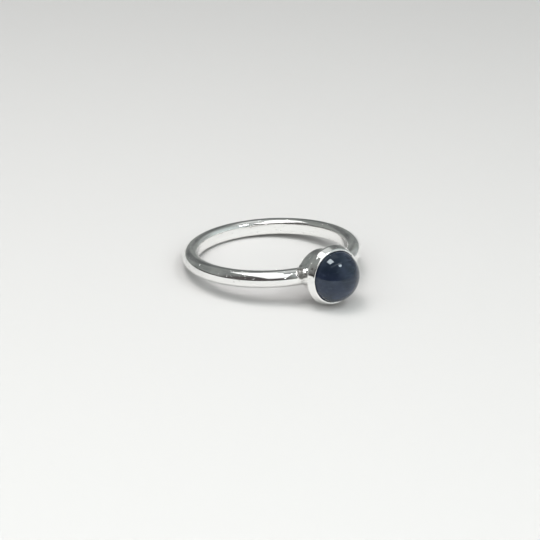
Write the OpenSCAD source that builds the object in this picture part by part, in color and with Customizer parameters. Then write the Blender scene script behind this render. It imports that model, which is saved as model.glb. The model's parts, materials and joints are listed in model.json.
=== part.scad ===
// Silver stacking ring with one round cabochon in a plain bezel, lying on its side as it rests on a table.
// Millimetres, +Z up, the table at z = 0. The bezel points to +X and is lifted a little by its own width.
// Every shape is drawn in the ring's own frame first: finger axis along Z, bezel axis along X.

/* [Band] */
// Inside diameter, the size of the finger
finger_d = 17.35; // [15:0.05:21]
// Diameter of the round wire
wire_d = 2; // [1.6:0.05:2.4]
// How much of the wire is taken off by the flat inside
flat_cut = 0.21; // [0.15:0.01:0.35]

/* [Setting] */
// Height of the bezel's rim over the finger
rim_h = 3.4; // [3:0.05:4.5]
// Distance from the rim down to the widest part of the bezel
wall_h = 1.03; // [0.9:0.01:1.2]
// Outside diameter at the rim
rim_d = 6.46; // [6.4:0.01:6.7]
// Outside diameter at the widest part
belly_d = 7.1; // [6.9:0.01:7.4]
// Diameter of the straight foot that stands on the band
foot_d = 5.03; // [4.6:0.01:5.6]
// Angle between the bezel axis and the underside that flares out from the foot
flare = 45; // [35:1:60]
// Radius of the hollow where the flare rises from the foot
cove_r = 2.4; // [1:0.1:2.6]
// Radius that softens the widest part
belly_round = 0.3; // [0.1:0.05:0.4]
// Radius that softens the rim
rim_round = 0.1; // [0.05:0.01:0.12]

/* [Stone] */
// Diameter of the cabochon at its base
stone_d = 6; // [5.9:0.01:6.05]
// Diameter of the cabochon where it leaves the bezel
stone_neck_d = 5.86; // [5.8:0.01:5.88]
// Depth of the cabochon inside the bezel
seat_h = 0.9; // [0.7:0.05:1]
// Height of the dome over the rim
dome_h = 2.39; // [2.2:0.01:2.6]
// Radius of the dome's shoulder
shoulder_r = 2.1; // [1.9:0.01:2.2]
// Chamfer round the flat base
base_chamfer = 0.15; // [0.05:0.05:0.25]
// Gap between the stone and the metal
gap = 0.03; // [0.02:0.01:0.05]

/* [Hidden] */
$fn = 128;

finger_r = finger_d / 2;
wire_r = wire_d / 2;
// Radius of the wire's own centre line round the finger axis
band_r = finger_r + wire_r - flat_cut;

// Heights are measured from the finger axis, out along the bezel axis
rim_x = finger_r + rim_h;
belly_x = rim_x - wall_h;
seat_x = rim_x - seat_h;
// The foot starts inside the finger hole, which then trims it to the finger's curve
foot_x = finger_r - 1;

// Centres of the two softening circles, as [distance from the bezel axis, height]
belly_c = [belly_d / 2 - belly_round, belly_x];
rim_c = [rim_d / 2 - rim_round, rim_x - rim_round];

// The flare is a straight line that touches the widest part's circle and comes down to the foot at flare_p
foot_r = foot_d / 2;
flare_dir = [sin(flare), cos(flare)];
flare_top = belly_c + belly_round * [cos(flare), -sin(flare)];
flare_p = flare_top - (flare_top[0] - foot_r) / flare_dir[0] * flare_dir;
// The hollow's circle touches foot and flare at the same distance from that corner
cove_reach = cove_r * tan(flare / 2);
cove_c = flare_p + [cove_r, -cove_reach];

// The dome is a shoulder arc that carries on from the stone's sloping side, and a crown arc tangent to it
side_tilt = atan((stone_d - stone_neck_d) / 2 / (seat_h - base_chamfer));
neck_p = [stone_neck_d / 2, rim_x];
shoulder_c = neck_p - shoulder_r * [cos(side_tilt), sin(side_tilt)];
apex_x = rim_x + dome_h;
apex_over = apex_x - shoulder_c[1];
crown_r = (shoulder_c[0] ^ 2 + apex_over ^ 2 - shoulder_r ^ 2) / (2 * (apex_over - shoulder_r));
crown_c = [0, apex_x - crown_r];
// Where the crown arc hands over to the shoulder arc
join_dir = (shoulder_c - crown_c) / norm(shoulder_c - crown_c);
join_p = crown_c + crown_r * join_dir;

// Lying on the table, the ring touches it with the back of the band and with the widest part of the bezel
lever = [belly_x + band_r, belly_c[0]];
rest_tilt = atan2(lever[1], lever[0]) - asin((wire_r - belly_round) / norm(lever));
rest_z = band_r * sin(rest_tilt) + wire_r;
// The middle of the ring's length stands over the origin
reach_front = crown_c[1] * cos(rest_tilt) + crown_r;
reach_back = band_r * cos(rest_tilt) + wire_r;
rest_x = (reach_back - reach_front) / 2;

// Points where a straight line touches two circles on their outer side, lower circle first
function bridge(c1, r1, c2, r2) =
    let (d = c2 - c1, turn = atan2(d[1], d[0]) - acos((r1 - r2) / norm(d)))
    [c1 + r1 * [cos(turn), sin(turn)], c2 + r2 * [cos(turn), sin(turn)]];

module disc_at(c, r) {
    translate(c) circle(r);
}

module lying() {
    translate([rest_x, 0, rest_z]) rotate([0, -rest_tilt, 0]) children();
}

module about_bezel_axis() {
    rotate([0, 90, 0]) rotate_extrude() children();
}

// The straight foot, and the flare that the hollow is cut from
module foot_outline() {
    difference() {
        polygon([
            [0, foot_x], [foot_r, foot_x], [foot_r, cove_c[1]], cove_c,
            flare_p + cove_reach * flare_dir, flare_top, belly_c, [0, belly_x]
        ]);
        disc_at(cove_c, cove_r);
    }
}

// Outline of the bezel and its foot, before the seat is cut
module setting_outline() {
    wall = bridge(belly_c, belly_round, rim_c, rim_round);
    foot_outline();
    polygon([[0, belly_x], belly_c, wall[0], wall[1], rim_c, [rim_c[0], rim_x], [0, rim_x]]);
    disc_at(belly_c, belly_round);
    disc_at(rim_c, rim_round);
}

// The seat leaves the same gap all round the stone's flat base and sloping side
module seat_outline() {
    above = rim_x + rim_round;
    rise = tan(side_tilt) * rim_round;
    polygon([
        [0, seat_x - gap],
        [stone_d / 2 - base_chamfer + gap, seat_x - gap],
        [stone_d / 2 + gap, seat_x + base_chamfer],
        [stone_neck_d / 2 + gap, rim_x],
        [stone_neck_d / 2 + gap - rise, above],
        [0, above]
    ]);
}

module stone_outline() {
    // The chamfered base and the sloping side, up to the rim
    polygon([
        [0, seat_x],
        [stone_d / 2 - base_chamfer, seat_x],
        [stone_d / 2, seat_x + base_chamfer],
        neck_p,
        shoulder_c,
        [0, shoulder_c[1]]
    ]);
    // The crown, a slice of its circle between the axis and the join
    intersection() {
        disc_at(crown_c, crown_r);
        polygon([crown_c, crown_c + 2 * crown_r * join_dir, [0, crown_c[1] + 2 * crown_r]]);
    }
    // The shoulder, a slice of its circle between the join and the side
    intersection() {
        disc_at(shoulder_c, shoulder_r);
        polygon([
            shoulder_c,
            shoulder_c + 2 * (neck_p - shoulder_c),
            shoulder_c + 3 * shoulder_r * [1, 1],
            shoulder_c + 2 * shoulder_r * join_dir
        ]);
    }
    // The core between the two slices and the axis
    polygon([[0, shoulder_c[1]], shoulder_c, join_p, crown_c, [0, crown_c[1]]]);
}

module band() {
    rotate_extrude() translate([band_r, 0]) circle(wire_r);
}

// Band and bezel are soldered into one piece, then bored to the finger's size
module silver_ring() {
    color("silver") lying() difference() {
        union() {
            band();
            about_bezel_axis() difference() {
                setting_outline();
                seat_outline();
            }
        }
        cylinder(h = 2 * belly_d, r = finger_r, center = true);
    }
}

module cabochon() {
    color([0.16, 0.19, 0.29]) lying() about_bezel_axis() stone_outline();
}

silver_ring();
cabochon();
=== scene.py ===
import json
import math
from collections import namedtuple
from types import SimpleNamespace

import bpy
import numpy as np
from mathutils import Matrix, Vector


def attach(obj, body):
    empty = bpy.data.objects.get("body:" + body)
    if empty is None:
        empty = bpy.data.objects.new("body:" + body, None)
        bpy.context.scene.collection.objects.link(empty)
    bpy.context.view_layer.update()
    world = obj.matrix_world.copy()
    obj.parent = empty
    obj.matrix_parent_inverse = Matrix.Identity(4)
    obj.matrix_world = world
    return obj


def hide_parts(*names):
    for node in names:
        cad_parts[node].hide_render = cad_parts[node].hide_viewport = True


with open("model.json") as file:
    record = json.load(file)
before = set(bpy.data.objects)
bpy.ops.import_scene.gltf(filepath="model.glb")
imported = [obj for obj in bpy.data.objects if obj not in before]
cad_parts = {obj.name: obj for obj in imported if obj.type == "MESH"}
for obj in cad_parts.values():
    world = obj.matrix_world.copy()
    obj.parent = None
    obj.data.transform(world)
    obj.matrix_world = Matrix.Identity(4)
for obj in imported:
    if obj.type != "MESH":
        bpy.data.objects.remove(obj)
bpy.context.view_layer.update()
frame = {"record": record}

MM = 0.001

# Camera, at the photograph's angle to the ring
CAMERA_HEADING = math.radians(-37.871)
CAMERA_ELEVATION = math.radians(25.168)
CAMERA_ROLL = math.radians(1.8)
CAMERA_DISTANCE = 252.655 * MM
CAMERA_AIM = Vector((-1.716, -0.403, 0.0)) * MM
CAMERA_LENS = 143.644
CAMERA_SENSOR = 36.0
CAMERA_CLIP = (0.01, 30.0)


def heading(azimuth, elevation):
    """Unit vector from the ring towards a compass angle and a height over the table, both in radians."""
    level = math.cos(elevation)
    return Vector((level * math.cos(azimuth), level * math.sin(azimuth), math.sin(elevation)))


def make_camera():
    back = heading(CAMERA_HEADING, CAMERA_ELEVATION)
    level_right = Vector((0, 0, 1)).cross(back).normalized()
    level_up = back.cross(level_right)
    right = math.cos(CAMERA_ROLL) * level_right + math.sin(CAMERA_ROLL) * level_up
    up = back.cross(right)
    data = bpy.data.cameras.new("camera")
    data.lens = CAMERA_LENS
    data.sensor_width = CAMERA_SENSOR
    data.clip_start, data.clip_end = CAMERA_CLIP
    camera = bpy.data.objects.new("camera", data)
    turn = Matrix((right, up, back)).transposed().to_4x4()
    camera.matrix_world = Matrix.Translation(CAMERA_AIM + CAMERA_DISTANCE * back) @ turn
    bpy.context.scene.collection.objects.link(camera)
    bpy.context.scene.camera = camera


make_camera()

# Sizes of the ring, in its own frame: finger axis Z, bezel axis X, finger's centre at the origin
finger_hole = frame["record"]["mounts"][0]
FINGER_R = finger_hole["dims"]["r_mm"] * MM
WIRE_R = 1.0 * MM
FLAT_CUT = 0.21 * MM
BAND_R = FINGER_R + WIRE_R - FLAT_CUT
RIM_X = FINGER_R + 3.4 * MM
BELLY_X = RIM_X - 1.03 * MM
SEAT_X = RIM_X - 0.9 * MM
FOOT_X = FINGER_R - 1.0 * MM
RIM_R = 3.23 * MM
BELLY_R = 3.55 * MM
FOOT_R = 2.53 * MM
FLARE = math.radians(60)
STONE_R = 3.0 * MM
STONE_NECK_R = 2.93 * MM
STONE_CHAMFER = 0.15 * MM
DOME_H = 2.39 * MM
SHOULDER_R = 2.1 * MM
GAP = 0.03 * MM

# How softly the metal's faces run into each other
SOLDER_SOFT = 0.65 * MM
FLARE_SOFT = 0.35 * MM
BELLY_SOFT = 0.3 * MM
RIM_SOFT = 0.12 * MM
LIP_SOFT = 0.07 * MM
BORE_SOFT = 0.16 * MM


def ring_frame():
    """Matrix from the ring's own frame into the part's frame."""
    axis = Vector(finger_hole["axis"]).normalized()
    side = Vector((0, 1, 0))
    turn = Matrix((side.cross(axis), side, axis)).transposed().to_4x4()
    return Matrix.Translation(Vector(finger_hole["pos_m"])) @ turn


RING = ring_frame()


def soft_min(a, b, soft):
    """The smaller of two distances, with a fillet where they meet."""
    mix = np.clip(0.5 + 0.5 * (b - a) / soft, 0, 1)
    return b + (a - b) * mix - soft * mix * (1 - mix)


def soft_max(a, b, soft):
    """The larger of two distances, with a round edge where they meet."""
    return -soft_min(-a, -b, soft)


def cone(low_r, low_x, high_r, high_x):
    """Distance outside the cone through two circles round the bezel axis."""
    dr, dx = high_r - low_r, high_x - low_x
    length = math.hypot(dr, dx)
    return lambda r, x: ((r - low_r) * dx - (x - low_x) * dr) / length


flare_side = cone(FOOT_R, BELLY_X - (BELLY_R - FOOT_R) / math.tan(FLARE), BELLY_R, BELLY_X)
wall_side = cone(BELLY_R, BELLY_X, RIM_R, RIM_X)
seat_side = cone(STONE_R + GAP, SEAT_X, STONE_NECK_R + GAP, RIM_X)


def silver_distance(p):
    """Signed distance from points to the silver: band, foot and bezel soldered into one piece."""
    x, y, z = p[:, 0], p[:, 1], p[:, 2]
    from_finger = np.hypot(x, y)
    from_bezel = np.hypot(y, z)
    band = np.hypot(from_finger - BAND_R, z) - WIRE_R
    foot = soft_min(from_bezel - FOOT_R, flare_side(from_bezel, x), FLARE_SOFT)
    setting = soft_max(foot, wall_side(from_bezel, x), BELLY_SOFT)
    setting = soft_max(setting, x - RIM_X, RIM_SOFT)
    setting = np.maximum(setting, FOOT_X - x)
    metal = soft_min(band, setting, SOLDER_SOFT)
    metal = soft_max(metal, FINGER_R - from_finger, BORE_SOFT)
    seat = np.maximum(seat_side(from_bezel, x), SEAT_X - GAP - x)
    return soft_max(metal, -seat, LIP_SOFT)


# Spacing of the grid that the silver's mesh is drawn from, finer across the rim
MESH_STEP = 0.1 * MM
RIM_STEP = 0.06 * MM
RIM_ZONE = 0.35 * MM
# How far to each side the distance is probed for its slope
PROBE = 0.001 * MM
# How often the mesh is evened out, and how far each time
EVEN_ROUNDS = 6
EVEN_SHARE = 0.5


def grid_lines(low, high, step):
    return low + step * np.arange(math.ceil((high - low) / step) + 1)


def field_on(lines, distance):
    """Distances at all crossings of three sets of grid lines."""
    y, z = np.meshgrid(lines[1], lines[2], indexing="ij")
    slabs = []
    for x in lines[0]:
        p = np.column_stack([np.full(y.size, x), y.ravel(), z.ravel()])
        slabs.append(distance(p).reshape(y.shape))
    return np.array(slabs)


def surface_net(lines, distance):
    """Quad mesh of the surface where the distance is zero, with a vertex in each cell that it crosses."""
    inside = field_on(lines, distance) < 0
    corners = np.zeros(np.array(inside.shape) - 1, int)
    for i, j, k in np.ndindex(2, 2, 2):
        nx, ny, nz = corners.shape
        corners += inside[i:i + nx, j:j + ny, k:k + nz]
    crossed = (corners > 0) & (corners < 8)
    number = np.full(crossed.shape, -1)
    number[crossed] = np.arange(crossed.sum())
    middles = [(line[1:] + line[:-1]) / 2 for line in lines]
    places = np.column_stack([middles[a][index] for a, index in enumerate(np.nonzero(crossed))])
    faces = []
    for axis in range(3):
        faces.append(faces_across(np.moveaxis(inside, axis, 0), np.moveaxis(number, axis, 0)))
    # The middle axis runs the other way round, so its faces are turned
    faces[1] = faces[1][:, ::-1]
    return places, np.concatenate(faces)


def faces_across(inside, number):
    """The four cells round each grid edge along the first axis that the surface crosses, facing out."""
    start, end = inside[:-1, 1:-1, 1:-1], inside[1:, 1:-1, 1:-1]
    around = [number[:, :-1, :-1], number[:, 1:, :-1], number[:, 1:, 1:], number[:, :-1, 1:]]
    leaving = np.stack([cells[start & ~end] for cells in around], 1)
    entering = np.stack([cells[~start & end] for cells in around], 1)
    return np.concatenate([leaving, entering[:, ::-1]])


def slope_at(p, distance):
    """Direction in which the distance grows fastest, as unit vectors."""
    out = np.empty_like(p)
    for axis in range(3):
        step = np.zeros(3)
        step[axis] = PROBE
        out[:, axis] = distance(p + step) - distance(p - step)
    return out / np.linalg.norm(out, axis=1, keepdims=True)


def relax(p, faces, distance):
    """Evens out the mesh along the surface and sets every vertex exactly on it."""
    ends = np.concatenate([faces[:, [i, (i + 1) % 4]] for i in range(4)])
    count = np.bincount(ends[:, 0], minlength=len(p))[:, None]
    for _ in range(EVEN_ROUNDS):
        total = np.stack([np.bincount(ends[:, 0], p[ends[:, 1], a], len(p)) for a in range(3)], 1)
        normal = slope_at(p, distance)
        shift = total / count - p
        p = p + EVEN_SHARE * (shift - (shift * normal).sum(1, keepdims=True) * normal)
        p = p - distance(p)[:, None] * slope_at(p, distance)
    return p


def in_part(p):
    """Points of the ring's own frame in the part's frame."""
    m = np.array(RING)
    return p @ m[:3, :3].T + m[:3, 3]


def mesh_object(name, p, faces, normals):
    """A smooth shaded mesh object from points and directions of the ring's own frame."""
    mesh = bpy.data.meshes.new(name)
    mesh.from_pydata(in_part(p).tolist(), [], faces)
    mesh.shade_smooth()
    mesh.normals_split_custom_set_from_vertices((normals @ np.array(RING)[:3, :3].T).tolist())
    piece = bpy.data.objects.new(name, mesh)
    bpy.context.scene.collection.objects.link(piece)
    return piece


def make_silver():
    reach = BAND_R + WIRE_R + 2 * MESH_STEP
    lines = [
        np.concatenate([
            grid_lines(-reach, RIM_X - RIM_ZONE - MESH_STEP, MESH_STEP),
            grid_lines(RIM_X - RIM_ZONE, RIM_X + 2 * RIM_STEP, RIM_STEP),
        ]),
        grid_lines(-reach, reach, MESH_STEP),
        grid_lines(-BELLY_R - 2 * MESH_STEP, BELLY_R + 2 * MESH_STEP, MESH_STEP),
    ]
    p, faces = surface_net(lines, silver_distance)
    p = relax(p, faces, silver_distance)
    return mesh_object("silver_band_and_bezel", p, faces.tolist(), slope_at(p, silver_distance))


# Points along each stretch of the stone's outline, and sides round the stone
BASE_POINTS = 12
CHAMFER_POINTS = 3
FLANK_POINTS = 8
SHOULDER_POINTS = 28
CROWN_POINTS = 44
STONE_SIDES = 144


def straight(start, end, facing, count):
    """Points along a line, each as radius and height, and the direction that they all face."""
    return np.linspace(start, end, count), np.tile(facing, (count, 1))


def arc(centre, radius, start, end, count):
    """Points along an arc, each as radius and height, and the directions that they face."""
    turn = np.linspace(start, end, count)
    out = np.stack([np.cos(turn), np.sin(turn)], 1)
    return np.array(centre) + radius * out, out


def stone_profile():
    """Outline of the cabochon from the middle of its base to its top, with the directions it faces."""
    side = Vector((STONE_R - STONE_NECK_R, RIM_X - SEAT_X - STONE_CHAMFER)).normalized()
    tilt = math.atan2(side.x, side.y)
    shoulder = (STONE_NECK_R - SHOULDER_R * math.cos(tilt), RIM_X - SHOULDER_R * math.sin(tilt))
    over = RIM_X + DOME_H - shoulder[1]
    crown_r = (shoulder[0] ** 2 + over ** 2 - SHOULDER_R ** 2) / (2 * (over - SHOULDER_R))
    crown_x = RIM_X + DOME_H - crown_r
    join = math.atan2(shoulder[1] - crown_x, shoulder[0])
    middle, edge = (0.0, SEAT_X), (STONE_R - STONE_CHAMFER, SEAT_X)
    corner, neck = (STONE_R, SEAT_X + STONE_CHAMFER), (STONE_NECK_R, RIM_X)
    slanting = (math.sqrt(0.5), -math.sqrt(0.5))
    stretches = [
        straight(middle, edge, (0.0, -1.0), BASE_POINTS),
        straight(edge, corner, slanting, CHAMFER_POINTS),
        straight(corner, neck, (math.cos(tilt), math.sin(tilt)), FLANK_POINTS),
        arc(shoulder, SHOULDER_R, tilt, join, SHOULDER_POINTS),
        arc((0.0, crown_x), crown_r, join, math.pi / 2, CROWN_POINTS),
    ]
    # Each stretch starts where the one before it ends, so that point is left out
    places, facing = stretches[0]
    for more_places, more_facing in stretches[1:]:
        places = np.concatenate([places, more_places[1:]])
        facing = np.concatenate([facing, more_facing[1:]])
    return places, facing


def make_stone():
    """The cabochon, its profile turned round the bezel axis."""
    profile, facing = stone_profile()
    turn = np.linspace(0, 2 * math.pi, STONE_SIDES, endpoint=False)
    rows = len(profile) - 2

    def spun(outline):
        return np.stack([
            np.repeat(outline[:, 1], STONE_SIDES),
            np.outer(outline[:, 0], np.sin(turn)).ravel(),
            np.outer(outline[:, 0], np.cos(turn)).ravel(),
        ], 1)

    ends = np.array([[profile[0, 1], 0, 0], [profile[-1, 1], 0, 0]])
    p = np.concatenate([spun(profile[1:-1]), ends])
    normals = np.concatenate([spun(facing[1:-1]), [[-1, 0, 0], [1, 0, 0]]])
    base, top = rows * STONE_SIDES, rows * STONE_SIDES + 1
    faces = []
    for j in range(STONE_SIDES):
        k = (j + 1) % STONE_SIDES
        last = (rows - 1) * STONE_SIDES
        faces.append([base, j, k])
        faces.append([top, last + k, last + j])
        for row in range(0, last, STONE_SIDES):
            above = row + STONE_SIDES
            faces.append([row + k, row + j, above + j, above + k])
    return mesh_object("tiger_eye_cabochon", p, faces, normals)


class Nodes:
    """Short ways to build a node tree."""

    def __init__(self, tree):
        self.tree = tree
        self.tree.nodes.clear()

    def feed(self, socket, value):
        """Gives an input a value, or joins it to another node's output."""
        if isinstance(value, bpy.types.NodeSocket):
            self.tree.links.new(value, socket)
        else:
            socket.default_value = value

    def add(self, kind, settings=None, **inputs):
        """A new node with the given settings, and inputs by name."""
        node = self.tree.nodes.new(kind)
        for name, value in (settings or {}).items():
            setattr(node, name, value)
        for name, value in inputs.items():
            self.feed(node.inputs[name.replace("_", " ")], value)
        return node

    def add_in_order(self, kind, settings, values):
        """A new node with the given settings, and values for its first inputs in their order."""
        node = self.add(kind, settings)
        for socket, value in zip(node.inputs, values):
            self.feed(socket, value)
        return node

    def math(self, operation, *values):
        return self.add_in_order("ShaderNodeMath", {"operation": operation}, values).outputs[0]

    def vector(self, operation, *values):
        node = self.add_in_order("ShaderNodeVectorMath", {"operation": operation}, values)
        return node.outputs["Value" if operation in ("DOT_PRODUCT", "LENGTH") else "Vector"]

    def split(self, vector):
        return self.add("ShaderNodeSeparateXYZ", Vector=vector).outputs

    def join(self, x, y, z):
        return self.add("ShaderNodeCombineXYZ", X=x, Y=y, Z=z).outputs[0]

    def ramp(self, value, low, high, at_low=0.0, at_high=1.0):
        """The value carried smoothly from one range to another."""
        settings = {"interpolation_type": "SMOOTHSTEP"}
        values = (value, low, high, at_low, at_high)
        return self.add_in_order("ShaderNodeMapRange", settings, values).outputs[0]

    def blend(self, amount, a, b):
        """Colour a where the amount is 0, and b where it is 1."""
        node = self.add("ShaderNodeMix", {"data_type": "RGBA"})
        for name, value in (("Factor_Float", amount), ("A_Color", a), ("B_Color", b)):
            self.feed(next(s for s in node.inputs if s.identifier == name), value)
        return next(s for s in node.outputs if s.identifier == "Result_Color")

    def noise(self, place, fineness, detail, roughness=0.5):
        """Random values from 0 to 1, with so many waves to the metre."""
        inputs = {"Vector": place, "Scale": fineness, "Detail": detail, "Roughness": roughness}
        return self.add("ShaderNodeTexNoise", **inputs).outputs["Fac"]

    def bump(self, height, depth, under=None):
        """The surface's direction with a height from 0 to 1 on it, on top of an earlier one if given."""
        node = self.add("ShaderNodeBump", Strength=1.0, Distance=depth, Height=height)
        if under is not None:
            self.feed(node.inputs["Normal"], under)
        return node.outputs[0]


def rgb(r, g, b):
    return (r, g, b, 1.0)


def new_material(name):
    material = bpy.data.materials.new(name)
    material.use_nodes = True
    return material, Nodes(material.node_tree)


def end_material(nodes, **inputs):
    """Gives the material its one shader, with the given inputs."""
    shader = nodes.add("ShaderNodeBsdfPrincipled", **inputs)
    nodes.add("ShaderNodeOutputMaterial", Surface=shader.outputs[0])


def ring_place(nodes):
    """Position in the ring's own frame, in metres."""
    place = nodes.add("ShaderNodeTexCoord").outputs["Object"]
    moved = nodes.vector("ADD", place, tuple(-v for v in finger_hole["pos_m"]))
    turn = RING.to_3x3().transposed().to_euler()
    return nodes.add("ShaderNodeMapping", Vector=moved, Rotation=tuple(turn)).outputs["Vector"]


# Colours of the silver, clean and marked; the tarnish grey is also painted shade on the upper side of the
# band
SILVER_CLEAN = rgb(0.95, 0.945, 0.93)
SILVER_TARNISH_AND_SHADE = rgb(0.66, 0.67, 0.665)
SILVER_PIT = rgb(0.2, 0.19, 0.18)
SILVER_STAIN = rgb(0.19, 0.185, 0.175)
STAIN_ROUGHNESS = 0.55

# Depth of the marks on the silver
UNEVEN_DEPTH = 0.012 * MM
POLISH_DEPTH = 0.0006 * MM
PIT_DEPTH = 0.02 * MM
SOLDER_DEPTH = 0.15 * MM

# Fineness of the marks on the silver, in waves to the metre
UNEVEN_FINENESS = 520.0
POLISH_FINENESS = 9000.0
PIT_FINENESS = 4200.0
SOLDER_FINENESS = 2100.0
SPECK_FINENESS = 6500.0
PATCH_FINENESS = 330.0
STREAK_FINENESS = 3200.0
# Waves along the band, as a share of those across it, for the marks that are drawn out along it
ALONG_BAND = 0.06

# Balls at the solder joint on each side of the foot, in millimetres of the ring's own frame.
# A mark has its full strength in a ball's core, which is given as a share of its radius.
Ball = namedtuple("Ball", "x y z radius")
BALL_CORE = 0.6
LUMPY_JOINT = [Ball(9.95, 3.0, 0.5, radius=0.9)]
STAINED_JOINT = [
    Ball(9.4, 3.05, 0.95, radius=0.5),
    Ball(9.6, 3.25, 0.65, radius=0.5),
    Ball(9.95, 3.3, 0.3, radius=0.45),
    Ball(10.1, 2.95, 0.4, radius=0.42),
    Ball(11.62, 3.02, 1.52, radius=0.2),
    Ball(11.3, 3.3, 1.1, radius=0.16),
]


def in_balls(nodes, place, balls):
    """1 in the core of any of the balls, falling softly to 0 at its surface."""
    total = 0.0
    for ball in balls:
        centre = (ball.x * MM, ball.y * MM, ball.z * MM)
        away = nodes.vector("LENGTH", nodes.vector("SUBTRACT", place, centre))
        inside = nodes.ramp(away, low=ball.radius * MM, high=BALL_CORE * ball.radius * MM)
        total = nodes.math("MAXIMUM", total, inside)
    return total


def silver_places(nodes):
    """A point's place on the silver, in each of the ways that the marks need."""
    place = ring_place(nodes)
    x, y, z = nodes.split(place)
    squares = nodes.math("MULTIPLY", x, x), nodes.math("MULTIPLY", y, y)
    radius = nodes.math("SQRT", nodes.math("ADD", *squares))
    along = nodes.math("MULTIPLY", nodes.math("ARCTAN2", y, x), BAND_R * ALONG_BAND)
    return SimpleNamespace(
        point=place,
        radius=radius,
        height=z,
        along_band=nodes.join(along, radius, z),
        on_either_side=nodes.join(x, nodes.math("ABSOLUTE", y), z),
    )


def silver_relief(nodes, place, dots, lumps):
    """Slow unevenness from hand finishing, polishing marks, small pits, and lumpy solder at the foot."""
    uneven = nodes.noise(place.point, UNEVEN_FINENESS, detail=2.0, roughness=0.45)
    marks = nodes.noise(place.along_band, POLISH_FINENESS, detail=3.0, roughness=0.6)
    pits = nodes.ramp(dots, low=0.725, high=0.825, at_low=1.0, at_high=0.0)
    solder = nodes.math("MULTIPLY", lumps, in_balls(nodes, place.on_either_side, LUMPY_JOINT))
    relief = nodes.bump(uneven, UNEVEN_DEPTH)
    relief = nodes.bump(marks, POLISH_DEPTH, under=relief)
    relief = nodes.bump(pits, PIT_DEPTH, under=relief)
    return nodes.bump(solder, SOLDER_DEPTH, under=relief)


def silver_tarnish_and_top_shade(nodes, place):
    """Slight tarnish on the outside, in slow patches and in streaks along the band, made stronger on its
    upper side by painted shade.
    """
    patches = nodes.noise(place.point, PATCH_FINENESS, detail=4.0, roughness=0.6)
    patches = nodes.ramp(patches, low=0.35, high=0.68)
    streaks = nodes.noise(place.along_band, STREAK_FINENESS, detail=3.0, roughness=0.6)
    streaks = nodes.ramp(streaks, low=0.35, high=0.65, at_low=0.5, at_high=1.0)
    outside = nodes.ramp(place.radius, low=FINGER_R + 0.1 * MM, high=FINGER_R + 0.4 * MM)
    # Painted shade: the grey rises from 0.15 of its strength on the lower side of the band to full strength
    # on its upper side
    painted_top_shade = nodes.ramp(place.height, low=-0.3 * MM, high=0.3 * MM, at_low=0.15, at_high=1.0)
    strength = nodes.math("MULTIPLY", patches, streaks)
    return nodes.math("MULTIPLY", strength, nodes.math("MULTIPLY", outside, painted_top_shade))


def silver_stain(nodes, place, lumps):
    """Dull grey stains on the solder, a little uneven with its lumps."""
    strength = nodes.ramp(lumps, low=0.35, high=0.5, at_low=0.75, at_high=1.0)
    return nodes.math("MULTIPLY", in_balls(nodes, place.on_either_side, STAINED_JOINT), strength)


def silver_material():
    material, nodes = new_material("polished_silver")
    place = silver_places(nodes)
    dots = nodes.noise(place.point, PIT_FINENESS, detail=0.0)
    lumps = nodes.noise(place.point, SOLDER_FINENESS, detail=2.0)
    specks = nodes.noise(place.point, SPECK_FINENESS, detail=2.0)
    stain = silver_stain(nodes, place, lumps)
    pitted = nodes.ramp(dots, low=0.78, high=0.86, at_low=0.0, at_high=0.5)
    # Tarnish grey in patches and streaks, with painted shade that darkens the upper side of the band
    colour = nodes.blend(silver_tarnish_and_top_shade(nodes, place), SILVER_CLEAN, SILVER_TARNISH_AND_SHADE)
    colour = nodes.blend(pitted, colour, SILVER_PIT)
    colour = nodes.blend(stain, colour, SILVER_STAIN)
    rough = nodes.ramp(specks, low=0.35, high=0.75, at_low=0.05, at_high=0.11)
    rough = nodes.math("ADD", rough, nodes.math("MULTIPLY", stain, STAIN_ROUGHNESS))
    relief = silver_relief(nodes, place, dots, lumps)
    end_material(nodes, Metallic=1.0, Base_Color=colour, Roughness=rough, Normal=relief)
    return material


# Colours of the stone, from its dark clouds to its fibres, and of what it mirrors straight on
STONE_DEEP = rgb(0.011, 0.019, 0.036)
STONE_MID = rgb(0.027, 0.038, 0.076)
STONE_PALE = rgb(0.055, 0.075, 0.12)
STONE_MIRROR = rgb(0.86, 0.96, 1.0)
STONE_IOR = 1.54
STONE_ROUGHNESS = 0.06

# Fineness of the stone's pattern, in waves to the metre, and how its fibres are drawn out across the stone
CLOUD_FINENESS = 420.0
FIBRE_FINENESS = 2600.0
FIBRE_STRETCH = (1.0, 0.12, 1.0)


def stone_material():
    """Dark blue tiger eye with silky fibres."""
    material, nodes = new_material("blue_tiger_eye")
    place = ring_place(nodes)
    stretched = nodes.add("ShaderNodeMapping", Vector=place, Scale=FIBRE_STRETCH).outputs[0]
    clouds = nodes.ramp(nodes.noise(place, CLOUD_FINENESS, detail=2.0), low=0.3, high=0.7)
    fibres = nodes.noise(stretched, FIBRE_FINENESS, detail=4.0, roughness=0.6)
    fibres = nodes.ramp(fibres, low=0.48, high=0.8, at_low=0.0, at_high=0.45)
    colour = nodes.blend(clouds, STONE_DEEP, STONE_MID)
    colour = nodes.blend(fibres, colour, STONE_PALE)
    end_material(
        nodes, Base_Color=colour, Roughness=STONE_ROUGHNESS, IOR=STONE_IOR, Specular_Tint=STONE_MIRROR
    )
    return material


FLOOR_R = 6.0
FLOOR_SIDES = 64
FLOOR_COLOUR = rgb(0.347, 0.323, 0.319)
FLOOR_ROUGHNESS = 0.7
FLOOR_SPECULAR = 0.2


def floor_material():
    """Plain matt paper of one colour; the lights alone make it fall off towards the back."""
    material, nodes = new_material("pale_floor")
    end_material(
        nodes, Base_Color=FLOOR_COLOUR, Roughness=FLOOR_ROUGHNESS, Specular_IOR_Level=FLOOR_SPECULAR
    )
    return material


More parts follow.
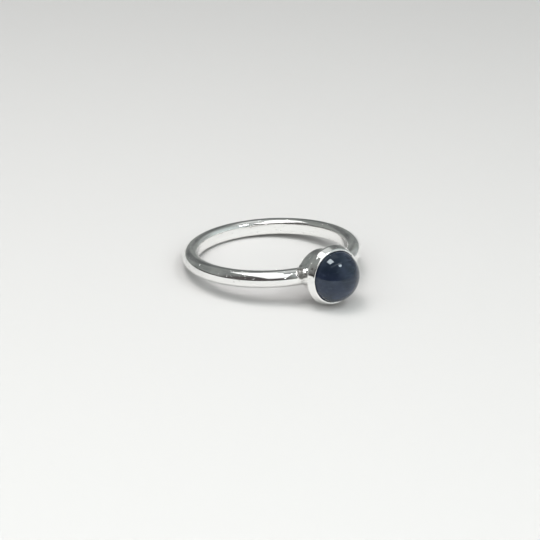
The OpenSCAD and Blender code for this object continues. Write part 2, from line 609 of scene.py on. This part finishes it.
def make_floor():
    mesh = bpy.data.meshes.new("floor")
    turns = np.linspace(0, 2 * math.pi, FLOOR_SIDES, endpoint=False)
    edge = [(FLOOR_R * math.cos(turn), FLOOR_R * math.sin(turn), 0) for turn in turns]
    mesh.from_pydata(edge, [], [list(range(FLOOR_SIDES))])
    floor = bpy.data.objects.new("floor", mesh)
    bpy.context.scene.collection.objects.link(floor)
    mesh.materials.append(floor_material())
    return floor


def panel(name, place, size, brightness, colour=(1, 1, 1), turn=0.0):
    """A level panel over the ring that shines straight down; brightness is what its reflection shows."""
    data = bpy.data.lights.new(name, "AREA")
    data.shape = "RECTANGLE"
    data.size, data.size_y = size
    data.energy = brightness * math.pi * size[0] * size[1]
    data.color = colour
    light = bpy.data.objects.new(name, data)
    light.location = place
    light.rotation_euler = (0, 0, math.radians(turn))
    light.visible_camera = False
    bpy.context.scene.collection.objects.link(light)
    return light


def shine_on(light, pieces):
    """Keeps a light to the given pieces."""
    lit = bpy.data.collections.new(light.name + "_reach")
    for piece in pieces:
        lit.objects.link(piece)
    light.light_linking.receiver_collection = lit


# Colours of the lights that aren't white, and how the front ones are turned, in degrees
WINDOW_COLOUR = (0.93, 0.97, 1.0)
FILL_COLOUR = (0.88, 1.0, 0.985)
CARD_TURN = -27
FILL_TURN = -38


def make_lights(silver, floor):
    """The lights, with places and sizes in metres."""
    panel("ceiling_panel", place=(-0.015, -0.045, 0.22), size=(0.105, 0.074), brightness=11)
    panel("window", place=(0.315, 0.114, 0.509), size=(0.11, 0.13), brightness=12, colour=WINDOW_COLOUR)
    panel("lamp_strip", place=(0.19, -0.02, 0.46), size=(0.014, 0.46), brightness=4)
    # Cards that brighten the silver and the floor, and that the stone doesn't mirror
    cards = [
        panel("front_card", place=(0.209, -0.228, 0.4), size=(0.86, 0.216), brightness=1.15, turn=CARD_TURN),
        panel("right_card", place=(0.397, -0.168, 0.4), size=(0.58, 0.1), brightness=1.15, turn=CARD_TURN),
        panel("side_card", place=(-0.191, -0.068, 0.4), size=(0.09, 0.145), brightness=1.2),
    ]
    for card in cards:
        shine_on(card, [silver, floor])
    # A wide soft light in front of the ring that fills the shadows on the floor
    fill = panel(
        "floor_fill", place=(0.473, -0.369, 0.35), size=(1.2, 1.2), brightness=3.2,
        colour=FILL_COLOUR, turn=FILL_TURN,
    )
    shine_on(fill, [floor])


# The surroundings that the silver mirrors are one grey with soft-edged regions of other tones over it.
# Each region is full within the inner angle of its direction and gone at the outer angle, in degrees.
Region = namedtuple("Region", "azimuth elevation inner outer colour")
SURROUNDINGS = rgb(0.255, 0.27, 0.26)
REGIONS = [
    Region(azimuth=-60, elevation=10, inner=25, outer=60, colour=rgb(0.11, 0.1, 0.1)),
    Region(azimuth=55, elevation=20, inner=30, outer=65, colour=rgb(0.57, 0.63, 0.63)),
    Region(azimuth=94, elevation=20, inner=5, outer=22, colour=rgb(0.33, 0.34, 0.34)),
    Region(azimuth=139, elevation=29, inner=6, outer=19, colour=rgb(0.155, 0.16, 0.16)),
    Region(azimuth=166, elevation=20, inner=8, outer=20, colour=rgb(0.15, 0.155, 0.155)),
]
LOW_FRONT = rgb(0.06, 0.055, 0.055)
CEILING = rgb(0.36, 0.38, 0.375)
LEFT_WALL = rgb(0.66, 0.68, 0.67)
# What the camera sees where the floor ends
BACKDROP = rgb(0.75, 0.76, 0.75)


def in_region(nodes, direction, region):
    """1 within the region's inner angle, falling smoothly to 0 at its outer angle."""
    centre = tuple(heading(math.radians(region.azimuth), math.radians(region.elevation)))
    near = nodes.vector("DOT_PRODUCT", direction, centre)
    outer, inner = math.cos(math.radians(region.outer)), math.cos(math.radians(region.inner))
    return nodes.ramp(near, low=outer, high=inner)


def in_low_front(nodes, direction):
    """1 low down on the side that the part's -Y points to, falling smoothly to 0 round it."""
    _, y, z = nodes.split(direction)
    return nodes.math("MULTIPLY", nodes.ramp(y, low=-0.25, high=-0.6), nodes.ramp(z, low=0.22, high=0.05))


def in_box(nodes, direction, low, high, edge):
    """1 over a level rectangle of the sky, from low to high corner as seen from above, with a soft edge."""
    axes = nodes.split(direction)
    inside = nodes.ramp(axes[2], low=0.0, high=0.1)
    for axis, start, end in zip(axes, low, high):
        inside = nodes.math("MULTIPLY", inside, nodes.ramp(axis, low=start - edge, high=start + edge))
        inside = nodes.math("MULTIPLY", inside, nodes.ramp(axis, low=end + edge, high=end - edge))
    return inside


def make_world():
    world = bpy.data.worlds.new("studio")
    world.use_nodes = True
    nodes = Nodes(world.node_tree)
    direction = nodes.add("ShaderNodeTexCoord").outputs["Generated"]
    colour = SURROUNDINGS
    for region in REGIONS:
        colour = nodes.blend(in_region(nodes, direction, region), colour, region.colour)
    colour = nodes.blend(in_low_front(nodes, direction), colour, LOW_FRONT)
    ceiling = in_box(nodes, direction, low=(-0.05, -0.1), high=(0.5, 0.42), edge=0.08)
    colour = nodes.blend(ceiling, colour, CEILING)
    left_wall = in_box(nodes, direction, low=(-0.53, 0.04), high=(-0.06, 0.46), edge=0.06)
    colour = nodes.blend(left_wall, colour, LEFT_WALL)
    seen = nodes.add("ShaderNodeLightPath").outputs["Is Camera Ray"]
    background = nodes.add("ShaderNodeBackground", Color=nodes.blend(seen, colour, BACKDROP))
    nodes.add("ShaderNodeOutputWorld", Surface=background.outputs[0])
    bpy.context.scene.world = world


def dress(piece, material, node):
    """Gives a piece its material and puts it in the place of the CAD node."""
    piece.data.materials.append(material)
    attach(piece, "root")
    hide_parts(node)


silver = make_silver()
dress(silver, silver_material(), "silver_ring")
dress(make_stone(), stone_material(), "cabochon")
make_lights(silver, make_floor())
make_world()
bpy.context.scene.view_settings.view_transform = "Standard"
